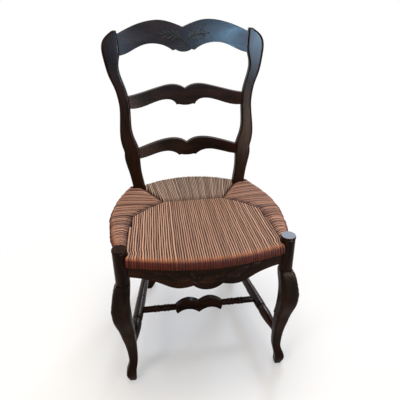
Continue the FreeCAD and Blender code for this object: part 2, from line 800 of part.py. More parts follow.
def centred(nodes):
    # Moves the chair so that the origin is on the floor under the middle of its box
    box = Part.makeCompound(list(nodes.values())).optimalBoundingBox(False)
    shift = Vector(-box.Center.x, -box.Center.y, -box.ZMin)
    for shape in nodes.values():
        shape.translate(shift)
    print("origin moved by", round(shift.x, 3), round(shift.y, 3), round(shift.z, 3))
    print("box", round(box.XLength, 2), round(box.YLength, 2), round(box.ZLength, 2))
    return nodes


os.makedirs("parts", exist_ok=True)
for name, shape in centred(build()).items():
    shape.exportStep("parts/" + name + ".step")
    print(name, shape.isValid(), len(shape.Solids), round(shape.Volume / 1000, 1), "cm3")
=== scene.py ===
import math
import random
import bpy
import bmesh
from mathutils import Matrix, Vector


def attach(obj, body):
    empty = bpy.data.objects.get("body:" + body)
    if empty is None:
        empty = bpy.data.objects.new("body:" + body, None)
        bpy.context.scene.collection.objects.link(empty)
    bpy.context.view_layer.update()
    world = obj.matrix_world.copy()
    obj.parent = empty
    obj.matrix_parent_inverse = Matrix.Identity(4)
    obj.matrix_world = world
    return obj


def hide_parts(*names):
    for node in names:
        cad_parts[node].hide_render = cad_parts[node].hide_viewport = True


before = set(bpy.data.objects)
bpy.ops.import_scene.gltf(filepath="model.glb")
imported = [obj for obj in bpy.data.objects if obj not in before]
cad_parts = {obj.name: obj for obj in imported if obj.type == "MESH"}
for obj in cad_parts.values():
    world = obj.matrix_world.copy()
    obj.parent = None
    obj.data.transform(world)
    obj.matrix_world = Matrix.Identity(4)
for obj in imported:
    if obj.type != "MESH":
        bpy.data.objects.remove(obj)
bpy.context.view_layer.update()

# Ladderback chair in dark walnut stain with a woven rush seat. Metres, the front faces -Y.


def deselectAll():
    if bpy.context.object and bpy.context.object.mode != "OBJECT":
        bpy.ops.object.mode_set(mode="OBJECT")
    bpy.ops.object.select_all(action="DESELECT")


def makeActive(piece):
    deselectAll()
    piece.select_set(True)
    bpy.context.view_layer.objects.active = piece


def applyModifier(piece, kind, **settings):
    makeActive(piece)
    modifier = piece.modifiers.new(kind.lower(), kind)
    for key, value in settings.items():
        setattr(modifier, key, value)
    bpy.ops.object.modifier_apply(modifier=modifier.name)


def linearColour(hexCode):
    channels = [int(hexCode[i:i + 2], 16) / 255 for i in (1, 3, 5)]
    linear = [c / 12.92 if c <= 0.04045 else ((c + 0.055) / 1.055) ** 2.4 for c in channels]
    return (*linear, 1.0)


def addNode(tree, kind, settings=None, links=None, stops=()):
    # settings: node properties by name and input values by socket; links: socket to output;
    # stops: places and colours along a colour ramp
    node = tree.nodes.new(kind)
    for key, value in (settings or {}).items():
        if isinstance(key, str) and hasattr(node, key):
            setattr(node, key, value)
        else:
            node.inputs[key].default_value = value
    for key, output in (links or {}).items():
        tree.links.new(output, node.inputs[key])
    for index, (position, colour) in enumerate(stops):
        elements = node.color_ramp.elements
        if index == len(elements):
            elements.new(position)
        elements[index].position = position
        elements[index].color = linearColour(colour)
    return node


def newMaterial(name):
    material = bpy.data.materials.new(name)
    material.use_nodes = True
    tree = material.node_tree
    tree.nodes.clear()
    output = addNode(tree, "ShaderNodeOutputMaterial")
    return material, tree, output


# Camera, where the photograph was taken from
cameraSettings = {
    "place": (-0.12298, -1.06525, 1.02406),
    "yawDeg": 7.325,            # turned towards +X
    "pitchDeg": 27.249,         # looking down
    "rollDeg": -0.677,
    "lensMm": 36.02,
}


def makeCamera(settings):
    bpy.ops.object.camera_add()
    camera = bpy.context.object
    camera.name = "photoCamera"
    camera.data.sensor_width = 36
    camera.data.lens = settings["lensMm"]
    camera.data.clip_start = 0.05
    camera.data.dof.use_dof = False
    turn = (Matrix.Rotation(math.radians(-settings["yawDeg"]), 4, "Z")
            @ Matrix.Rotation(math.radians(90 - settings["pitchDeg"]), 4, "X")
            @ Matrix.Rotation(math.radians(settings["rollDeg"]), 4, "Z"))
    camera.matrix_world = Matrix.Translation(settings["place"]) @ turn
    bpy.context.scene.camera = camera


makeCamera(cameraSettings)
print("camera placed")

# Studio: white paper sweep, a window high at the back right, one behind the camera's left
# shoulder and a big soft lamp overhead
studioSettings = {
    "floorSize": 12.0,
    "floorColour": "#f2f2f2",
    "floorRoughness": 0.9,
    "floorSpecular": 0.1,
    "fadeFrom": 0.35,           # metres from the chair where the paper begins to fade to white
    "fadeTo": 1.05,
    "fadeAtChair": 0.3,         # share of white that is seen under the chair
    "worldColour": "#ffffff",
    "worldLight": 0.45,
    "lamps": [
        # name, place, aimed at, size, watts, colour
        ("windowBack", (1.05, 1.85, 1.85), (0.15, -0.1, 0.45), 0.55, 24, "#dcebff"),
        ("windowLeft", (-1.7, -1.5, 1.8), (0.0, 0.0, 0.5), 0.8, 16, "#fff3e6"),
        ("overhead", (0.1, 0.1, 2.6), (0.0, 0.0, 0.4), 1.6, 44, "#fff4e8"),
    ],
    # window panes that only the wax picks up, on the right half of the back
    "panes": [
        ("paneRail", (-0.08, -0.76, 1.11), (0.2, 0.23, 0.91), 0.1, 12.5, "#a1d6ff"),
        ("panePost", (0.58, -0.73, 1.09), (0.22, 0.22, 0.88), 0.14, 36, "#b4deff"),
        ("paneLow", (0.6, -0.73, 0.6), (0.18, 0.2, 0.6), 0.26, 15, "#f4dfcf"),
    ],
}


def makeStudio(settings):
    bpy.ops.mesh.primitive_plane_add(size=settings["floorSize"])
    floor = bpy.context.object
    floor.name = "floor"
    material, tree, output = newMaterial("whitePaper")
    # matt white backdrop paper, seen as plain white and still taking the soft shadow
    paper = addNode(tree, "ShaderNodeBsdfPrincipled",
                    {"Base Color": linearColour(settings["floorColour"]),
                     "Roughness": settings["floorRoughness"],
                     "Specular IOR Level": settings["floorSpecular"]})
    # the camera sees it fade to clean white away from the chair, as a studio sweep does
    place = addNode(tree, "ShaderNodeTexCoord")
    away = addNode(tree, "ShaderNodeVectorMath", {"operation": "LENGTH"},
                   {0: place.outputs["Object"]})
    fade = addNode(tree, "ShaderNodeMapRange",
                   {"interpolation_type": "SMOOTHSTEP", "From Min": settings["fadeFrom"],
                    "From Max": settings["fadeTo"], "To Min": settings["fadeAtChair"]},
                   {"Value": away.outputs["Value"]})
    rays = addNode(tree, "ShaderNodeLightPath")
    share = addNode(tree, "ShaderNodeMath", {"operation": "MULTIPLY"},
                    {0: fade.outputs[0], 1: rays.outputs["Is Camera Ray"]})
    white = addNode(tree, "ShaderNodeEmission", {"Color": linearColour("#ffffff"),
                                                 "Strength": 1.0})
    sweep = addNode(tree, "ShaderNodeMixShader", None,
                    {0: share.outputs[0], 1: paper.outputs[0], 2: white.outputs[0]})
    tree.links.new(sweep.outputs[0], output.inputs[0])
    floor.data.materials.append(material)

    world = bpy.data.worlds.new("studio")
    bpy.context.scene.world = world
    world.use_nodes = True
    tree = world.node_tree
    tree.nodes.clear()
    output = addNode(tree, "ShaderNodeOutputWorld")
    rays = addNode(tree, "ShaderNodeLightPath")
    seen = addNode(tree, "ShaderNodeMath", {"operation": "MAXIMUM"},
                   {0: rays.outputs["Is Camera Ray"], 1: rays.outputs["Is Glossy Ray"]})
    seen = addNode(tree, "ShaderNodeMath", {"operation": "MAXIMUM"},
                   {0: seen.outputs[0], 1: rays.outputs["Is Transmission Ray"]})
    white = linearColour(settings["worldColour"])
    dim = addNode(tree, "ShaderNodeBackground",
                  {"Color": white, "Strength": settings["worldLight"]})
    bright = addNode(tree, "ShaderNodeBackground", {"Color": white, "Strength": 1.0})
    mix = addNode(tree, "ShaderNodeMixShader", None,
                  {0: seen.outputs[0], 1: dim.outputs[0], 2: bright.outputs[0]})
    tree.links.new(mix.outputs[0], output.inputs[0])

    for name, place, target, size, watts, colour in settings["lamps"] + settings["panes"]:
        bpy.ops.object.light_add(type="AREA", location=place)
        lamp = bpy.context.object
        lamp.name = name
        lamp.data.shape = "SQUARE"
        lamp.data.size = size
        lamp.data.energy = watts
        lamp.data.color = linearColour(colour)[:3]
        lamp.visible_camera = False
        lamp.visible_diffuse = not name.startswith("pane")
        aim = Vector(target) - Vector(place)
        lamp.rotation_euler = aim.to_track_quat("-Z", "Y").to_euler()


makeStudio(studioSettings)
bpy.context.scene.view_settings.view_transform = "Standard"
print("studio lit")

# Beech stained to dark walnut and rubbed with wax
woodStain = {
    "heart": "#090401",         # in the pores and dark streaks
    "body": "#1b0d04",
    "worn": "#381c0c",          # where the stain has rubbed thin
    "grainMm": 2.2,             # spacing of the grain lines
    "grainStretch": 0.06,       # pattern scale along the grain, as a share of that across
    "cloudAlong": 9.0,          # scales of the broad dark and worn patches
    "cloudAcross": 26.0,
    "edgeMm": 0.6,              # rounding of the edges that the light sees
    "poreDepthMm": 0.4,
    "roughness": 0.27,
    "rubbedRoughness": 0.15,    # end grain of the leg tops, polished by hands
    "rubbedAbove": 0.4585,
    "specular": 0.052,          # low: the wax has gone dull
}
carvedStain = dict(woodStain, heart="#0f0703", body="#2a170b", worn="#4a2b17")
# Old wax and dust lie in the fine carving of the top rail, and its lighter grey is also a
# painted sheen
sheenAndDustStain = dict(woodStain, heart="#1d1b1c", body="#34322f", worn="#524e4a")


def walnutStain(name, grainAxis, settings):
    # Waxed, open-grained wood: near black in shade, reddish where the light rakes it
    material, tree, output = newMaterial(name)
    place = addNode(tree, "ShaderNodeTexCoord")
    across = 1000 / settings["grainMm"] / 6.28
    along = across * settings["grainStretch"]
    scale = [along if axis == grainAxis else across for axis in "XYZ"]
    stretched = addNode(tree, "ShaderNodeMapping", {"Scale": scale},
                        {"Vector": place.outputs["Object"]})
    grain = addNode(tree, "ShaderNodeTexNoise",
                    {"Scale": 1.0, "Detail": 5.0, "Roughness": 0.62, "Distortion": 0.5},
                    {"Vector": stretched.outputs[0]})
    cloudScale = [settings["cloudAlong" if axis == grainAxis else "cloudAcross"]
                  for axis in "XYZ"]
    cloudPlace = addNode(tree, "ShaderNodeMapping", {"Scale": cloudScale},
                         {"Vector": place.outputs["Object"]})
    cloud = addNode(tree, "ShaderNodeTexNoise", {"Scale": 1.0, "Detail": 3.0},
                    {"Vector": cloudPlace.outputs[0]})
    heart, body, worn = settings["heart"], settings["body"], settings["worn"]
    fine = addNode(tree, "ShaderNodeValToRGB", None, {"Fac": grain.outputs["Fac"]},
                   [(0.30, heart), (0.52, body), (0.78, worn)])
    broad = addNode(tree, "ShaderNodeValToRGB", None, {"Fac": cloud.outputs["Fac"]},
                    [(0.35, heart), (0.68, worn)])
    colour = addNode(tree, "ShaderNodeMix", {"data_type": "RGBA", "Factor": 0.4},
                     {6: fine.outputs[0], 7: broad.outputs[0]})
    gloss = addNode(tree, "ShaderNodeMapRange",
                    {"To Min": settings["roughness"] - 0.07,
                     "To Max": settings["roughness"] + 0.13},
                    {"Value": cloud.outputs["Fac"]})
    roughness = gloss.outputs[0]
    if grainAxis == "Z":
        # of the upright pieces only the leg tops have a level face above this height
        height = addNode(tree, "ShaderNodeSeparateXYZ", None, {0: place.outputs["Object"]})
        facing = addNode(tree, "ShaderNodeNewGeometry")
        level = addNode(tree, "ShaderNodeSeparateXYZ", None, {0: facing.outputs["Normal"]})
        flat = addNode(tree, "ShaderNodeMath", {"operation": "GREATER_THAN", 1: 0.9},
                       {0: level.outputs[2]})
        above = addNode(tree, "ShaderNodeMath",
                        {"operation": "GREATER_THAN", 1: settings["rubbedAbove"]},
                        {0: height.outputs[2]})
        rubbed = addNode(tree, "ShaderNodeMath", {"operation": "MULTIPLY"},
                         {0: flat.outputs[0], 1: above.outputs[0]})
        polish = addNode(tree, "ShaderNodeMix", {"B": settings["rubbedRoughness"]},
                         {"Factor": rubbed.outputs[0], "A": gloss.outputs[0]})
        roughness = polish.outputs[0]
    edges = addNode(tree, "ShaderNodeBevel",
                    {"samples": 4, "Radius": settings["edgeMm"] / 1000})
    bump = addNode(tree, "ShaderNodeBump",
                   {"Strength": 0.25, "Distance": settings["poreDepthMm"] / 1000},
                   {"Height": grain.outputs["Fac"], "Normal": edges.outputs[0]})
    wood = addNode(tree, "ShaderNodeBsdfPrincipled",
                   {"Specular IOR Level": settings["specular"]},
                   {"Base Color": colour.outputs[2], "Roughness": roughness,
                    "Normal": bump.outputs[0]})
    if "groovesMm" in settings:
        # the shine is taken out of the two turned grooves, so they show darker
        length = addNode(tree, "ShaderNodeSeparateXYZ", None, {0: place.outputs["Object"]})
        front, rear = [addNode(tree, "ShaderNodeMath",
                               {"operation": "COMPARE", 1: groove / 1000,
                                2: settings["grooveHalfMm"] / 1000}, {0: length.outputs[1]})
                       for groove in settings["groovesMm"]]
        inGrooves = addNode(tree, "ShaderNodeMath", {"operation": "ADD"},
                        {0: front.outputs[0], 1: rear.outputs[0]})
        shine = addNode(tree, "ShaderNodeMath",
                        {"operation": "MULTIPLY_ADD", 1: -settings["specular"],
                         2: settings["specular"]}, {0: inGrooves.outputs[0]})
        tree.links.new(shine.outputs[0], wood.inputs["Specular IOR Level"])
    tree.links.new(wood.outputs[0], output.inputs[0])
    return material


# the rails are planed smoother than the legs, the stretchers come smooth from the lathe
railStain = dict(woodStain, roughness=0.23)
turnedStain = dict(woodStain, roughness=0.21, specular=0.14, groovesMm=(-90.8, 12.2),
                   grooveHalfMm=2.2)
kneeStain = dict(woodStain, heart="#080401", body="#170d05", worn="#2f1e10", roughness=0.4)
upright = walnutStain("walnutStainUpright", "Z", woodStain)
crosswise = walnutStain("walnutStainCrosswise", "X", railStain)
lengthwise = walnutStain("walnutStainLengthwise", "Y", turnedStain)
carvedAcross = walnutStain("walnutStainCarvedAcross", "X", carvedStain)
# painted sheen with old wax and dust, for the top rail's carving
carvedSheenAndDust = walnutStain("walnutStainCarvedDusty", "X", sheenAndDustStain)
carvedUpright = walnutStain("walnutStainCarvedUpright", "Z", kneeStain)

grainOf = {
    "front_leg": upright, "back_post": upright,
    "lower_rail": crosswise, "middle_rail": crosswise, "top_rail": crosswise,
    "front_apron": crosswise, "cross_stretcher": crosswise,
    "front_seat_rail": crosswise, "rear_seat_rail": crosswise,
    "side_apron": lengthwise, "side_stretcher": lengthwise, "side_seat_rail": lengthwise,
}

for nodeName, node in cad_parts.items():
    family = nodeName.replace("_left", "").replace("_right", "")
    if family in grainOf:
        node.data.materials.clear()
        node.data.materials.append(grainOf[family])
print("wood finished")

# Low-relief carving on the top rail, the apron and the knees. Points are in millimetres,
# x and height, drawn flat in front of the wood and then laid on to it
carvingSettings = {
    "sink": 0.25,               # how far the edge of the relief lies under the wood's face
    "thickness": 1.6,
    "drawnAt": -0.6,            # y of the plane that it is drawn in, in metres
}
leafSettings = {"rows": 12, "columns": 6, "relief": 1.0, "rib": 0.5, "ribWidth": 0.22,
                "veins": 0.0, "veinPairs": 6, "veinSlant": 1.6}
bigLeafSettings = dict(leafSettings, rows=30, columns=12, relief=2.0, rib=0.9, veins=0.55)
stemSettings = {"rows": 26, "columns": 4, "relief": 2.2}
railStem = {"path": [(-12.0, 878.5), (5.0, 897.5), (22.0, 915.5), (82.0, 916.5)],
            "width": 2.4, "mirrorAbout": 3.0}
# Leaves: where each begins, its length, half width and direction in degrees
railLeaves = [
    ((17.0, 906.5), 24.0, 2.6, 64), ((25.0, 910.5), 29.0, 2.8, 49),
    ((36.0, 913.0), 28.0, 2.7, 37), ((48.0, 914.5), 25.0, 2.5, 26),
    ((63.0, 915.8), 22.0, 2.3, 9), ((25.0, 908.0), 23.0, 2.5, -31),
    ((38.0, 911.5), 25.0, 2.5, -25), ((53.0, 913.5), 22.0, 2.2, -17),
]
apronScroll = {"path": [(30.0, 366.0), (40.0, 380.0), (52.0, 372.0), (44.0, 364.5)],
               "width": 1.5, "mirrorAbout": 0.0}
apronLeaves = [
    ((46.0, 379.0), 66.0, 11.0, 19), ((112.0, 399.0), 30.0, 4.0, 9),
    ((60.0, 374.5), 26.0, 3.4, 4), ((33.0, 382.0), 24.0, 3.2, 58),
    ((24.0, 378.0), 15.0, 2.6, 100),
]
shellLeaves = [((0.0, 366.0), 24.0, 3.3, angle) for angle in (90, 64, 116, 38, 142, 14, 166)]


def bezierPoint(points, t):
    while len(points) > 1:
        points = [(a[0] + (b[0] - a[0]) * t, a[1] + (b[1] - a[1]) * t)
                  for a, b in zip(points, points[1:])]
    return points[0]


def newStrip(name, rows, columns):
    deselectAll()
    bpy.ops.mesh.primitive_grid_add(x_subdivisions=rows, y_subdivisions=columns, size=1)
    strip = bpy.context.object
    strip.name = name
    return strip


def shapeStrip(strip, rows, columns, shape):
    # shape(t, v) gives x, height and relief in mm, t runs along the strip and v across
    for j in range(columns + 1):
        for i in range(rows + 1):
            x, z, relief = shape(i / rows, 2 * j / columns - 1)
            strip.data.vertices[j * (rows + 1) + i].co = (
                x / 1000, carvingSettings["drawnAt"] - relief / 1000, z / 1000)


def makeLeaf(name, settings):
    # A pointed leaf 1 mm long and 2 mm wide: two swelling halves and a sunk rib
    rows, columns = settings["rows"], settings["columns"]

    def shape(t, v):
        half = math.sin(math.pi * t ** 0.8) ** 0.8 if 0 < t < 1 else 0.0
        swell = (1 - v * v) * math.sin(math.pi * min(1.0, t * 0.94 + 0.06)) ** 0.5
        rib = math.exp(-(v / settings["ribWidth"]) ** 2) * settings["rib"]
        wave = math.cos(2 * math.pi * (settings["veinPairs"] * t
                                       - settings["veinSlant"] * abs(v)))
        veins = settings["veins"] * (0.5 + 0.5 * wave)
        relief = settings["relief"] * swell - (rib + veins) * swell
        return t, half * v, relief - carvingSettings["sink"] * (abs(v) > 0.99 or t in (0, 1))

    leaf = newStrip(name, rows, columns)
    shapeStrip(leaf, rows, columns, shape)
    return leaf


def placeLeaf(pattern, start, length, half, degrees, mirrorAbout=None):
    # A copy of the leaf, stretched, turned and set at its start
    makeActive(pattern)
    bpy.ops.object.duplicate(linked=False)
    leaf = bpy.context.object
    along = Vector((math.cos(math.radians(degrees)), math.sin(math.radians(degrees))))
    across = Vector((-along.y, along.x))
    for vertex in leaf.data.vertices:
        flat = along * vertex.co.x * length + across * vertex.co.z * half
        x, z = start[0] / 1000 + flat.x, start[1] / 1000 + flat.y
        if mirrorAbout is not None:
            x = 2 * mirrorAbout / 1000 - x
        vertex.co = (x, vertex.co.y, z)
    return leaf


def makeStem(name, stem, settings, mirror):
    rows, columns = settings["rows"], settings["columns"]

    def shape(t, v):
        x, z = bezierPoint(stem["path"], t)
        ahead = bezierPoint(stem["path"], t + 0.01)
        slope = Vector((ahead[0] - x, ahead[1] - z)).normalized()
        ends = 0.35 + 0.65 * min(1.0, t * 12, (1.001 - t) * 12)
        half = stem["width"] * (1 - 0.55 * t) * ends
        x, z = x - slope.y * half * v, z + slope.x * half * v
        if mirror:
            x = 2 * stem["mirrorAbout"] - x
        relief = settings["relief"] * (1 - 0.4 * t) * math.sqrt(max(0.0, 1 - v * v))
        return x, z, relief - carvingSettings["sink"] * (abs(v) > 0.99)

    strip = newStrip(name, rows, columns)
    shapeStrip(strip, rows, columns, shape)
    return strip


def layOnWood(pieces, name, nodeName, material):
    # Every point goes back on to the wood, keeping its relief, then the sheet gets a
    # thickness that ends inside the wood
    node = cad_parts[nodeName]
    back = Vector((0, 1, 0))
    for piece in pieces:
        for vertex in piece.data.vertices:
            relief = carvingSettings["drawnAt"] - vertex.co.y
            start = Vector((vertex.co.x, carvingSettings["drawnAt"], vertex.co.z))
            hit, place, normal, _ = node.ray_cast(start, back)
            if hit:
                vertex.co = place + normal * relief
            else:
                print("off the wood:", name, tuple(round(c * 1000, 1) for c in vertex.co))
    finishCarving(pieces, name, material)


def finishCarving(pieces, name, material):
    deselectAll()
    for piece in pieces:
        piece.select_set(True)
    bpy.context.view_layer.objects.active = pieces[0]
    bpy.ops.object.join()
    carving = bpy.context.object
    carving.name = name
    makeActive(carving)
    bpy.ops.object.mode_set(mode="EDIT")
    bpy.ops.mesh.select_all(action="SELECT")
    bpy.ops.mesh.remove_doubles(threshold=0.00002)
    bpy.ops.mesh.dissolve_degenerate(threshold=0.00001)
    bpy.ops.mesh.normals_make_consistent(inside=False)
    bpy.ops.object.mode_set(mode="OBJECT")
    backward = sum(face.normal.y * face.area for face in carving.data.polygons)
    if backward > 0:
        carving.data.flip_normals()
    applyModifier(carving, "SOLIDIFY", thickness=carvingSettings["thickness"] / 1000, offset=-1)
    makeActive(carving)
    bpy.ops.object.shade_smooth_by_angle(angle=math.radians(50))
    carving.data.materials.clear()
    carving.data.materials.append(material)
    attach(carving, "root")


def makeFlatCarving():
    leaf = makeLeaf("leafPattern", leafSettings)
    bigLeaf = makeLeaf("bigLeafPattern", bigLeafSettings)
    rail = [makeStem("railStem", railStem, stemSettings, mirror) for mirror in (False, True)]
    for start, length, half, degrees in railLeaves:
        for mirrorAbout in (None, railStem["mirrorAbout"]):
            rail.append(placeLeaf(leaf, start, length, half, degrees, mirrorAbout))
    layOnWood(rail, "carvingTopRail", "top_rail", carvedSheenAndDust)
    apron = [makeStem("apronScroll", apronScroll, stemSettings, mirror)
             for mirror in (False, True)]
    for start, length, half, degrees in apronLeaves:
        pattern = bigLeaf if length > 40 else leaf
        for mirrorAbout in (None, 0.0):
            apron.append(placeLeaf(pattern, start, length, half, degrees, mirrorAbout))
    for start, length, half, degrees in shellLeaves:
        apron.append(placeLeaf(leaf, start, length, half, degrees))
    layOnWood(apron, "carvingApron", "front_apron", carvedAcross)
    deselectAll()
    for pattern in (leaf, bigLeaf):
        pattern.select_set(True)
    bpy.ops.object.delete()


makeFlatCarving()
print("rail and apron carved")

# The knees: an overlapping leaf laid over each front leg's outer corner, with three lobes
kneeSettings = {
    "top": 350.0,
    "bottom": 272.0,
    "lobeRise": 8.0,            # between two lobes
    "cornerRise": 14.0,         # at the sides of the leaf
    "spread": 82.0,             # degrees to each side of the leg's outer corner
    "lobes": (-54.0, 0.0, 54.0),
    "lobeHalf": 27.0,
    "relief": 1.5,
    "rib": 0.9,
    "veinRelief": 0.28,
    "veinsDown": 5.0,
    "veinSlant": 26.0,          # degrees that a vein runs out for its spacing
    "rows": 30,
    "columns": 44,
    "legAxis": (219.0, -214.583),
    # how far the leg's middle stands out towards its corner, by height
    "sweep": [(354.0, 1.0), (342.7, 4.2), (318.4, 10.6), (276.2, 17.2), (247.9, 16.0)],
}


def kneeMiddle(z, sign, settings):
    out = settings["sweep"][-1][1]
    for (z0, out0), (z1, out1) in zip(settings["sweep"], settings["sweep"][1:]):
        if z1 <= z <= z0:
            out = out0 + (out1 - out0) * (z0 - z) / (z0 - z1)
    x, y = settings["legAxis"]
    return Vector((sign * (x + out * math.sqrt(0.5)), y - out * math.sqrt(0.5), z)) / 1000


def makeKneeLeaf(side, sign, settings):
    rows, columns = settings["rows"], settings["columns"]
    name = "carvingKnee" + side
    leaf = newStrip(name, rows, columns)
    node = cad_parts["front_leg_" + side.lower()]
    for j in range(columns + 1):
        turn = settings["spread"] * (2 * j / columns - 1)
        low = (settings["bottom"] + settings["cornerRise"] * (turn / settings["spread"]) ** 2
               + settings["lobeRise"]
               * (1 - abs(math.cos(math.pi * turn / (2 * settings["lobeHalf"])))))
        angle = math.radians(turn + 45.0)
        out = Vector((sign * math.cos(angle), -math.sin(angle), 0.0))
        for i in range(rows + 1):
            t = i / rows
            z = settings["top"] + (low - settings["top"]) * t
            edge = min(1.0, 8 * t, 9 * (1 - t), 7 * (1 - abs(turn) / settings["spread"]))
            relief = settings["relief"] * math.sqrt(max(0.0, edge)) * (0.55 + 0.45 * t)
            for lobe in settings["lobes"]:
                across = (turn - lobe * (0.45 + 0.55 * t)) / (2.2 + 1.6 * t)
                relief -= settings["rib"] * math.exp(-across ** 2) * edge
                veins = math.cos(2 * math.pi * (settings["veinsDown"] * t
                                                - abs(turn - lobe) / settings["veinSlant"]))
                if abs(turn - lobe) < settings["lobeHalf"]:
                    relief += (settings["veinRelief"] * veins * edge
                               * min(1.0, abs(across) / 2))
            middle = kneeMiddle(z, sign, settings)
            hit, place, normal, _ = node.ray_cast(middle + out * 0.06, -out)
            if not hit:
                print("off the leg:", name, round(turn), round(z))
                place, normal = middle + out * 0.02, out
            sunk = carvingSettings["sink"] if edge <= 0.0 else 0.0
            leaf.data.vertices[j * (rows + 1) + i].co = place + normal * (relief - sunk) / 1000
    return leaf


for side, sign in (("Left", -1), ("Right", 1)):
    kneeLeaf = makeKneeLeaf(side, sign, kneeSettings)
    finishCarving([kneeLeaf], "carvingKnee" + side, carvedUpright)
print("knees carved")


# Rush seat. Plan points are in millimetres, with y from the front leg axes
rushSettings = {
    "legAxisY": -214.583,       # of the front legs in the frame
    "top": 445.0,
    "thickness": 34.0,
    "edge": 17.0,               # roll of the rush round the seat frame
    "frontHalf": 199.4,         # half width of the front panel between the legs
    "frontRadius": 592.0,       # of the front edge, and how far back its centre lies
    "frontCentre": 532.0,
    "rearY": 467.0,             # middle of the rear edge, and its radius
    "rearRadius": 261.3,
    "spread": 4.2,              # behind the legs the front panel widens by this
    "spreadIn": 18.0,
    "flare": 6.0,               # and in front of them by this
    "flareIn": 16.0,
    "drawIn": 0.0405,           # towards the back it narrows by this share of the way
    "panels": {                 # strands, dip in the middle, unevenness and creases
        "front": {"strands": 65, "sag": 2.2, "lift": 0.6, "creases": 0.0},
        "rear": {"strands": 56, "sag": -1.2, "lift": 0.7, "creases": 0.12},
        "side": {"strands": 62, "sag": -2.6, "lift": 1.6, "creases": 0.42},
    },
    "waver": 0.5,               # how far a strand wanders sideways
    "creaseReach": 26.0,        # how far a crease runs out from the seam
    "columns": (0.0, 0.1, 0.28, 0.5, 0.72, 0.9),    # across one strand
    "seed": 11,
}
rushSeam = [(204.0, 20.8), (200.5, 101.0), (187.0, 193.0), (140.0, 240.0), (91.0, 274.0)]
# Where the strands of a side panel leave their seam and where they reach the edge
sideFan = [((204.4, 20.8), (232.0, 20.8)), ((200.9, 101.0), (250.3, 93.0)),
           ((187.3, 193.2), (259.0, 190.0)), ((140.3, 240.3), (256.3, 240.0)),
           ((91.4, 274.0), (245.5, 300.0)), ((118.0, 322.0), (232.0, 345.0)),
           ((149.2, 376.9), (219.5, 376.9)), ((190.0, 378.4), (218.8, 379.6)),
           ((190.0, 402.5), (207.0, 401.5))]
rearFan = [((0.0, 274.4), (0.0, 467.0)), ((91.0, 274.4), (118.0, 438.9)),
           ((148.9, 376.8), (149.2, 420.2))]
# How a strand comes up out of a seam: way from it and depth under the top. The front
# panel was woven last and stands proud, the others dive in under it.
riseOf = {"front": [(0.4, 6.0), (1.4, 2.4), (3.4, 0.7), (7.0, 0.0)],
          "side": [(0.5, 9.5), (2.5, 7.4), (6.0, 5.0), (11.0, 2.7), (17.0, 1.0), (25.0, 0.0)],
          "rear": [(0.5, 9.5), (2.5, 7.0), (6.0, 4.4), (11.0, 2.2), (17.0, 0.8), (25.0, 0.0)]}


def seamDepth(x):
    # How far back the front panel reaches at x
    x = abs(x)
    if x <= rushSeam[-1][0]:
        return rushSeam[-1][1]
    for (x0, y0), (x1, y1) in zip(rushSeam, rushSeam[1:]):
        if x1 <= x <= x0:
            return y1 + (y0 - y1) * (x - x1) / (x0 - x1)
    return rushSeam[0][1]


def frontX(across, y):
    # Where a strand of the front panel runs: the outer ones spread behind the legs, then
    # all draw in to the back
    spread = min(max(y / rushSettings["spreadIn"], 0.0), 1.0)
    spread = rushSettings["spread"] * spread * spread * (3 - 2 * spread) * across ** 4
    flare = min(max((-y - 2.0) / rushSettings["flareIn"], 0.0), 1.0)
    flare = rushSettings["flare"] * flare * flare * (3 - 2 * flare) * across ** 8
    drawn = max(0.0, y - 15.0) * rushSettings["drawIn"]
    return across * (rushSettings["frontHalf"] + spread + flare - drawn)


def frontFan(share):
    across = 2 * share - 1
    x = across * rushSettings["frontHalf"]
    arc = math.sqrt(rushSettings["frontRadius"] ** 2 - x ** 2)
    outer = Vector((x, rushSettings["frontCentre"] - arc))
    back = 150.0
    for _ in range(6):
        back = seamDepth(frontX(across, back))
    return Vector((frontX(across, back), back)), outer


def frontBend(share, point):
    return Vector((frontX(2 * share - 1, point.y), point.y))


def fanAt(fan, share):
    # Point pair of a fan at a share of the length of its outer edge
    lengths = [(Vector(b[1]) - Vector(a[1])).length for a, b in zip(fan, fan[1:])]
    left = share * sum(lengths)
    for (a, b), length in zip(zip(fan, fan[1:]), lengths):
        if left <= length:
            return Vector(a[0]).lerp(Vector(b[0]), left / length), Vector(a[1]).lerp(
                Vector(b[1]), left / length)
        left -= length
    return Vector(fan[-1][0]), Vector(fan[-1][1])


def rearFanAt(share):
    sign = 1 if share > 0.5 else -1
    inner, outer = fanAt(rearFan, abs(2 * share - 1))
    radius = rushSettings["rearRadius"]
    arcY = rushSettings["rearY"] - radius + math.sqrt(radius ** 2 - outer.x ** 2)
    return Vector((sign * inner.x, inner.y)), Vector((sign * outer.x, arcY))


def rightFanAt(share):
    return fanAt(sideFan, share)


def leftFanAt(share):
    inner, outer = fanAt(sideFan, share)
    return Vector((-inner.x, inner.y)), Vector((-outer.x, outer.y))


def asWoven(share, point):
    return point


def rushStations(length, steps, rise, settings):
    # One strand round the frame: way from the seam, depth under the top and the
    # direction that its round back faces (along, up). Short strands are squeezed.
    edge = settings["edge"]
    mid = settings["thickness"] / 2
    flat = length - edge
    squeeze = min(1.0, flat * 0.6 / rise[-1][0])
    stations = [(0.2, mid, -1.0, 0.0)]
    stations += [(at * squeeze, depth * (0.35 + 0.65 * squeeze), -depth / 12, 1.0 - depth / 24)
                 for at, depth in rise]
    first = stations[-1][0]
    stations += [(first + (flat - first) * i / steps, 0.0, 0.0, 1.0)
                 for i in range(1, steps + 1)]
    for i in range(1, 10):
        angle = math.pi * i / 10
        stations.append((flat + edge * math.sin(angle), mid - mid * math.cos(angle),
                         math.sin(angle), math.cos(angle)))
    stations += [(flat - (flat - first) * i / 4, 2 * mid, 0.0, -1.0) for i in range(5)]
    stations.append((first * 0.4, 2 * mid - 4.0, -0.6, -0.8))
    return stations


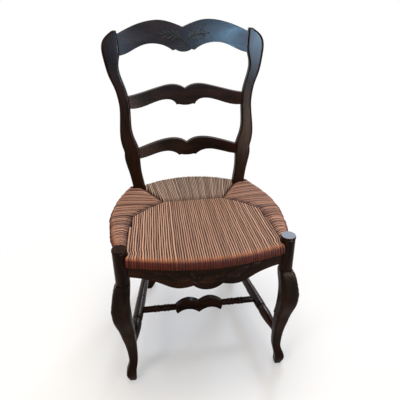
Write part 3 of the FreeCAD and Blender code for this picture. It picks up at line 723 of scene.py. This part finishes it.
def makeRush(name, fanPoint, bend, kind, settings, seed):
    # A woven panel: a grid is laid along the strands and wrapped round the frame
    random.seed(seed)
    weave = settings["panels"][kind]
    strands = weave["strands"]
    rise = riseOf[kind]
    columns = settings["columns"]
    edge = settings["edge"]
    wide = strands * len(columns)
    centre = [fanPoint((i + 0.5) / strands) for i in range(strands)]
    edges = [fanPoint(i / strands) for i in range(strands + 1)]
    longest = max((outer - inner).length for inner, outer in centre)
    steps = max(4, round((longest - edge) / 12))
    rows = len(rushStations(longest, steps, rise, settings))
    bpy.ops.mesh.primitive_grid_add(x_subdivisions=wide, y_subdivisions=rows - 1, size=1)
    panel = bpy.context.object
    panel.name = name
    mesh = panel.data
    lift = [random.uniform(-1.0, 0.6) * weave["lift"] for _ in range(strands)]
    crease = [random.uniform(0.8, 2.2) if random.random() < weave["creases"] else 0.0
              for _ in range(strands + 1)]
    phase = [random.uniform(0, 6.28) for _ in range(strands)]
    valley = [random.uniform(0.75, 1.35) for _ in range(strands + 1)]
    sway = [random.uniform(-0.16, 0.16) for _ in range(strands + 1)]
    sway[0] = sway[-1] = 0.0
    # the tucked depth: dust and painted shade where strand ends dive into a seam
    shade = mesh.attributes.new("tucked", "FLOAT", "POINT")
    # the roll mask: handling wear, and painted shade on the roll's front
    worn = mesh.attributes.new("handled", "FLOAT", "POINT")
    uvs = []
    for column in range(wide + 1):
        i = min(column // len(columns), strands - 1)
        u = columns[column % len(columns)] if column < wide else 1.0
        inner, outer = centre[i]
        along = (outer - inner).normalized()
        side = Vector((-along.y, along.x))
        low, high = edges[i], edges[i + 1]
        pitchIn = abs((high[0] - low[0]).dot(side))
        pitchOut = (high[1] - low[1]).dot(side)
        turn = 1 if pitchOut > 0 else -1
        start = inner + side * turn * pitchIn * (u - 0.5)
        if u == 0.0 and i > 0:
            start = (start + centre[i - 1][0] + side * turn * pitchIn * 0.5) / 2
        end = low[1].lerp(high[1], u)
        length = (end - start).length
        way = (end - start) / length
        profile = math.sqrt(max(0.0, 1 - (2 * u - 1) ** 2))
        depthHere = valley[i] if u < 0.5 else valley[i + 1]
        creaseHere = crease[i] * (1 - u) ** 2 + crease[i + 1] * u ** 2
        wander = sway[i] * (1 - u) + sway[i + 1] * u
        for row, (at, depth, faceAlong, faceUp) in enumerate(
                rushStations(length, steps, rise, settings)):
            pitch = pitchIn + (abs(pitchOut) - pitchIn) * min(1.0, at / length)
            sink = (1 - profile) * min(pitch * 0.55, 3.3) * depthHere - lift[i] * profile
            if 0.9 < faceUp:
                sink += creaseHere * 1.6 * math.exp(-at / settings["creaseReach"])
            wave = turn * (wander * pitch + profile * settings["waver"]
                           * math.sin(at * 0.05 + phase[i]))
            if column in (0, wide):
                wave = 0.0
            point = bend((i + u) / strands,
                         start + way * (at - faceAlong * sink)) + side * wave
            dip = weave["sag"] * math.sin(math.pi * min(1.0, at / length))
            if faceUp < 0.9:
                dip = 0.0
            height = settings["top"] - depth - faceUp * sink - dip
            index = row * (wide + 1) + column
            mesh.vertices[index].co = Vector(
                (point.x, point.y + settings["legAxisY"], height)) / 1000
            shade.data[index].value = max(0.0, min(1.0, depth / rise[0][1]))
            worn.data[index].value = max(0.0, min(1.0, (at - length + edge + 2.0) / 9.0))
            lengthAt = at if row < rows - 6 else 2 * length - at
            uvs.append(((column / len(columns)), lengthAt / 10))
    uv = mesh.uv_layers.active
    for polygon in mesh.polygons:
        for corner in polygon.loop_indices:
            index = mesh.loops[corner].vertex_index
            row, column = divmod(index, wide + 1)
            uv.data[corner].uv = uvs[column * rows + row]
    closeRush(panel, rows)
    return panel


def closeRush(panel, rows):
    # The last row meets the first under the seam, and both ends are filled
    makeActive(panel)
    bpy.ops.object.mode_set(mode="EDIT")
    bpy.ops.mesh.select_all(action="DESELECT")
    bpy.ops.mesh.select_mode(type="EDGE")
    sheet = bmesh.from_edit_mesh(panel.data)
    sheet.verts.ensure_lookup_table()
    wide = len(sheet.verts) // rows
    ends = {(rows - 1) * wide + column for column in range(wide)} | set(range(wide))
    for edge in sheet.edges:
        a, b = edge.verts[0].index, edge.verts[1].index
        if edge.is_boundary and a in ends and b in ends:
            edge.select = True
    bpy.ops.mesh.bridge_edge_loops()
    bpy.ops.mesh.select_all(action="DESELECT")
    bpy.ops.mesh.select_non_manifold()
    bpy.ops.mesh.fill_holes(sides=0)
    bpy.ops.mesh.select_all(action="SELECT")
    bpy.ops.mesh.normals_make_consistent(inside=False)
    bpy.ops.object.mode_set(mode="OBJECT")


def makeRushPanels(settings):
    seed = settings["seed"]
    return (makeRush("rushFront", frontFan, frontBend, "front", settings, seed),
            makeRush("rushRear", rearFanAt, asWoven, "rear", settings, seed + 1),
            makeRush("rushSideRight", rightFanAt, asWoven, "side", settings, seed + 2),
            makeRush("rushSideLeft", leftFanAt, asWoven, "side", settings, seed + 3))


# Tones of the panels: crown, flank and gap of a strand, the flank and gap darkened as painted
# shade, the roll where hands have worn it and painted shade darkens it, and how much the
# strands differ
rushTones = {
    "Front": {"top": "#b5917b", "mid": "#664438", "gap": "#260f08", "handled": "#ffd2ae",
              "uneven": 0.45},
    "Side": {"top": "#ae8670", "mid": "#6d4638", "gap": "#24100a", "handled": "#f0ded2",
             "uneven": 0.85},
    "Rear": {"top": "#a8907e", "mid": "#664c3f", "gap": "#27150d", "handled": "#f0ded2",
             "uneven": 0.65},
}


def rushMaterial(name, tones):
    # Hand-twisted rush: silky tan strands, with painted brick-brown shade in the gaps between
    # them
    material, tree, output = newMaterial(name)
    place = addNode(tree, "ShaderNodeUVMap")
    split = addNode(tree, "ShaderNodeSeparateXYZ", None, {0: place.outputs[0]})
    across = addNode(tree, "ShaderNodeMath", {"operation": "FRACT"}, {0: split.outputs[0]})
    centred = addNode(tree, "ShaderNodeMath", {"operation": "SUBTRACT", 1: 0.5},
                      {0: across.outputs[0]})
    fromMiddle = addNode(tree, "ShaderNodeMath", {"operation": "ABSOLUTE"},
                         {0: centred.outputs[0]})
    strand = addNode(tree, "ShaderNodeMath", {"operation": "FLOOR"}, {0: split.outputs[0]})
    strandTone = addNode(tree, "ShaderNodeTexWhiteNoise", {"noise_dimensions": "1D"},
                         {"W": strand.outputs[0]})
    # the leaves lie at a slant in the twisted strand
    slant = addNode(tree, "ShaderNodeMath", {"operation": "MULTIPLY_ADD", 1: 0.42},
                    {0: split.outputs[1], 2: split.outputs[0]})
    flow = addNode(tree, "ShaderNodeCombineXYZ", None,
                   {0: slant.outputs[0], 1: split.outputs[1]})
    streakPlace = addNode(tree, "ShaderNodeMapping", {"Scale": (5.5, 0.5, 1.0)},
                          {"Vector": flow.outputs[0]})
    streak = addNode(tree, "ShaderNodeTexNoise",
                     {"Scale": 1.0, "Detail": 5.0, "Roughness": 0.7},
                     {"Vector": streakPlace.outputs[0]})
    # handling has packed and worn the roll, which is darkened and reddened, partly as painted
    # shade on its front, and dust and painted shade darken the strand ends deep in the seams
    roll = addNode(tree, "ShaderNodeAttribute", {"attribute_name": "handled"})
    deep = addNode(tree, "ShaderNodeAttribute", {"attribute_name": "tucked"})
    # on the roll less painted gap shade is kept
    gapShadeShare = addNode(tree, "ShaderNodeMath", {"operation": "MULTIPLY_ADD", 1: -0.75, 2: 1.0},
                    {0: roll.outputs["Fac"]})
    shown = addNode(tree, "ShaderNodeMath", {"operation": "MULTIPLY"},
                    {0: fromMiddle.outputs[0], 1: gapShadeShare.outputs[0]})
    # painted shade: each strand light on its crown, darker down its flanks and darkest in the
    # gaps
    paintedStrandShade = addNode(tree, "ShaderNodeValToRGB", None, {"Fac": shown.outputs[0]},
                      [(0.06, tones["top"]), (0.27, tones["mid"]), (0.45, tones["gap"])])
    tone = addNode(tree, "ShaderNodeMath",
                   {"operation": "MULTIPLY_ADD", 1: tones["uneven"],
                    2: 0.25 - tones["uneven"] / 2},
                   {0: strandTone.outputs[0]})
    mixed = addNode(tree, "ShaderNodeMath", {"operation": "ADD"},
                    {0: tone.outputs[0], 1: streak.outputs["Fac"]})
    light = addNode(tree, "ShaderNodeMapRange",
                    {"From Min": 0.35, "From Max": 1.15, "To Min": 0.45, "To Max": 1.45},
                    {"Value": mixed.outputs[0]})
    toned = addNode(tree, "ShaderNodeVectorMath", {"operation": "SCALE"},
                    {0: paintedStrandShade.outputs[0], "Scale": light.outputs[0]})
    # handling wear and painted shade: the roll is darkened and reddened
    rollWearAndShadeTint = addNode(tree, "ShaderNodeMix",
                     {"data_type": "RGBA", 6: linearColour("#ffffff"),
                      7: linearColour(tones["handled"])},
                     {0: roll.outputs["Fac"]})
    # dust and painted shade: strand ends deep in the seams are darkened
    seamDustAndShade = addNode(tree, "ShaderNodeMix",
                    {"data_type": "RGBA", 6: linearColour("#ffffff"),
                     7: linearColour("#7a4a38")},
                    {0: deep.outputs["Fac"]})
    marks = addNode(tree, "ShaderNodeMix",
                    {"data_type": "RGBA", "blend_type": "MULTIPLY", 0: 1.0},
                    {6: rollWearAndShadeTint.outputs[2], 7: seamDustAndShade.outputs[2]})
    colour = addNode(tree, "ShaderNodeMix",
                     {"data_type": "RGBA", "blend_type": "MULTIPLY", 0: 1.0},
                     {6: toned.outputs[0], 7: marks.outputs[2]})
    twist = addNode(tree, "ShaderNodeMath", {"operation": "MULTIPLY_ADD", 1: 0.42},
                    {0: split.outputs[1], 2: across.outputs[0]})
    ply = addNode(tree, "ShaderNodeMath", {"operation": "MULTIPLY", 1: 12.57},
                  {0: twist.outputs[0]})
    plyWave = addNode(tree, "ShaderNodeMath", {"operation": "SINE"}, {0: ply.outputs[0]})
    height = addNode(tree, "ShaderNodeMath", {"operation": "MULTIPLY_ADD", 1: 0.35},
                     {0: plyWave.outputs[0], 2: streak.outputs["Fac"]})
    bump = addNode(tree, "ShaderNodeBump", {"Strength": 0.8, "Distance": 0.0007},
                   {"Height": height.outputs[0]})
    rush = addNode(tree, "ShaderNodeBsdfPrincipled",
                   {"Roughness": 0.7, "Specular IOR Level": 0.12},
                   {"Base Color": colour.outputs[2], "Normal": bump.outputs[0]})
    tree.links.new(rush.outputs[0], output.inputs[0])
    return material


frontRush, rearRush, rightRush, leftRush = makeRushPanels(rushSettings)
frontTone, sideTone, rearTone = [rushMaterial("twistedRush" + kind, rushTones[kind])
                                 for kind in ("Front", "Side", "Rear")]
for panel, nodeName, material in ((frontRush, "rush_front_panel", frontTone),
                                  (rearRush, "rush_rear_panel", rearTone),
                                  (rightRush, "rush_side_panel_right", sideTone),
                                  (leftRush, "rush_side_panel_left", sideTone)):
    panel.data.materials.append(material)
    makeActive(panel)
    bpy.ops.object.shade_smooth_by_angle(angle=math.radians(60))
    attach(panel, "root")
    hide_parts(nodeName)
print("rush woven")
